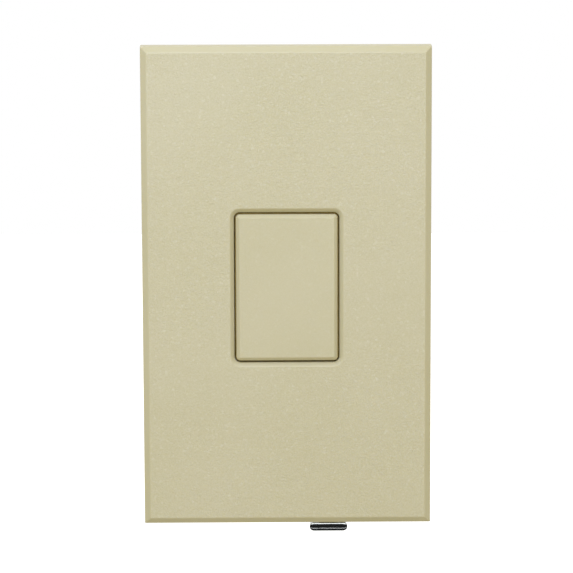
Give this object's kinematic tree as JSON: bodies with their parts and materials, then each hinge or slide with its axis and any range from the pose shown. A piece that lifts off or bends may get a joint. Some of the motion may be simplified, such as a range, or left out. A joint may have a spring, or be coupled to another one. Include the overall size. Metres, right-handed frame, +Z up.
{
  "type": "dimmer slide switch",
  "caption": "Wall dimmer: bevelled rectangular faceplate, large press button in its opening, slide lever with a metal tip under the lower edge, yoke and rear housing.",
  "frame": {"origin": "centre of the faceplate on the wall's surface, which its rear rim touches", "axes": "+Z up along the faceplate's height, +Y into the wall, +X to the right as seen from the front"},
  "size_m": [0.0698, 0.0358, 0.1181],
  "materials": {
    "ivory_plastic": "fine sparkle texture, satin",
    "chrome": "polished",
    "spring_steel": "bright",
    "aluminium": "satin",
    "zinc_steel": "bright zinc plate",
    "green_screw": "gloss",
    "black_plastic": "moulded, lightly textured",
    "white_nylon": "satin",
    "grey_acetal": "smooth",
    "brass": "satin",
    "contact_copper": "bright",
    "phenolic": "matt",
    "circuit_board": "lacquered",
    "insulating_card": "matt",
    "black_epoxy": "matt",
    "ferrite": "matt",
    "enamelled_wire": "gloss",
    "yellow_film": "gloss",
    "red_film": "gloss",
    "resistor_tan": "lacquered",
    "diac_blue": "gloss"
  },
  "bodies": {
    "root": {"faceplate": "ivory_plastic", "hinge_pin": "spring_steel", "return_springs": "spring_steel", "mechanism_cover": "black_plastic", "yoke": "aluminium", "box_screws": "zinc_steel", "screw_retainers": "insulating_card", "cover_screws": "zinc_steel", "guide_rivets": "zinc_steel", "ground_screw": "green_screw", "pot_case": "zinc_steel", "pot_track": "phenolic", "pot_pins": "zinc_steel", "switch_case": "white_nylon", "switch_base": "phenolic", "plunger_spring": "spring_steel", "fixed_contacts": "contact_copper", "circuit_board": "circuit_board", "board_screws": "zinc_steel", "triac": "black_epoxy", "triac_tab": "zinc_steel", "triac_insulator": "insulating_card", "triac_rivet": "zinc_steel", "choke_core": "ferrite", "choke_winding": "enamelled_wire", "film_capacitor": "yellow_film", "timing_capacitor": "red_film", "resistors": "resistor_tan", "diac": "diac_blue", "terminal_plates": "brass", "terminal_screws": "brass", "insulating_sheet": "insulating_card", "rear_housing": "black_plastic"},
    "button": {"button": "ivory_plastic"},
    "plunger": {"switch_plunger": "white_nylon", "moving_contact": "contact_copper"},
    "slide": {"slide_knob": "chrome", "slide_carriage": "grey_acetal", "pot_slider": "black_epoxy", "pot_wiper": "contact_copper"}
  },
  "joints": [
    {"name": "button_press", "type": "hinge", "parent": "root", "child": "button", "pos_m": [0, -0.0041, 0.01445], "axis": [1, 0, 0], "range_deg": [0, 4], "stiffness_Nm_per_rad": 0.3, "springref_deg": -5.73, "deforming": ["return_springs"]},
    {"name": "plunger_push", "type": "slide", "parent": "root", "child": "plunger", "axis": [0, 1, 0], "range_m": [0, 0.0016], "deforming": ["plunger_spring"]},
    {"name": "level_slide", "type": "slide", "parent": "root", "child": "slide", "axis": [1, 0, 0], "range_m": [-0.02, 0]}
  ],
  "couplings": [
    {"joint": "plunger_push", "follows": "button_press", "m_per_rad": 0.02245}
  ]
}
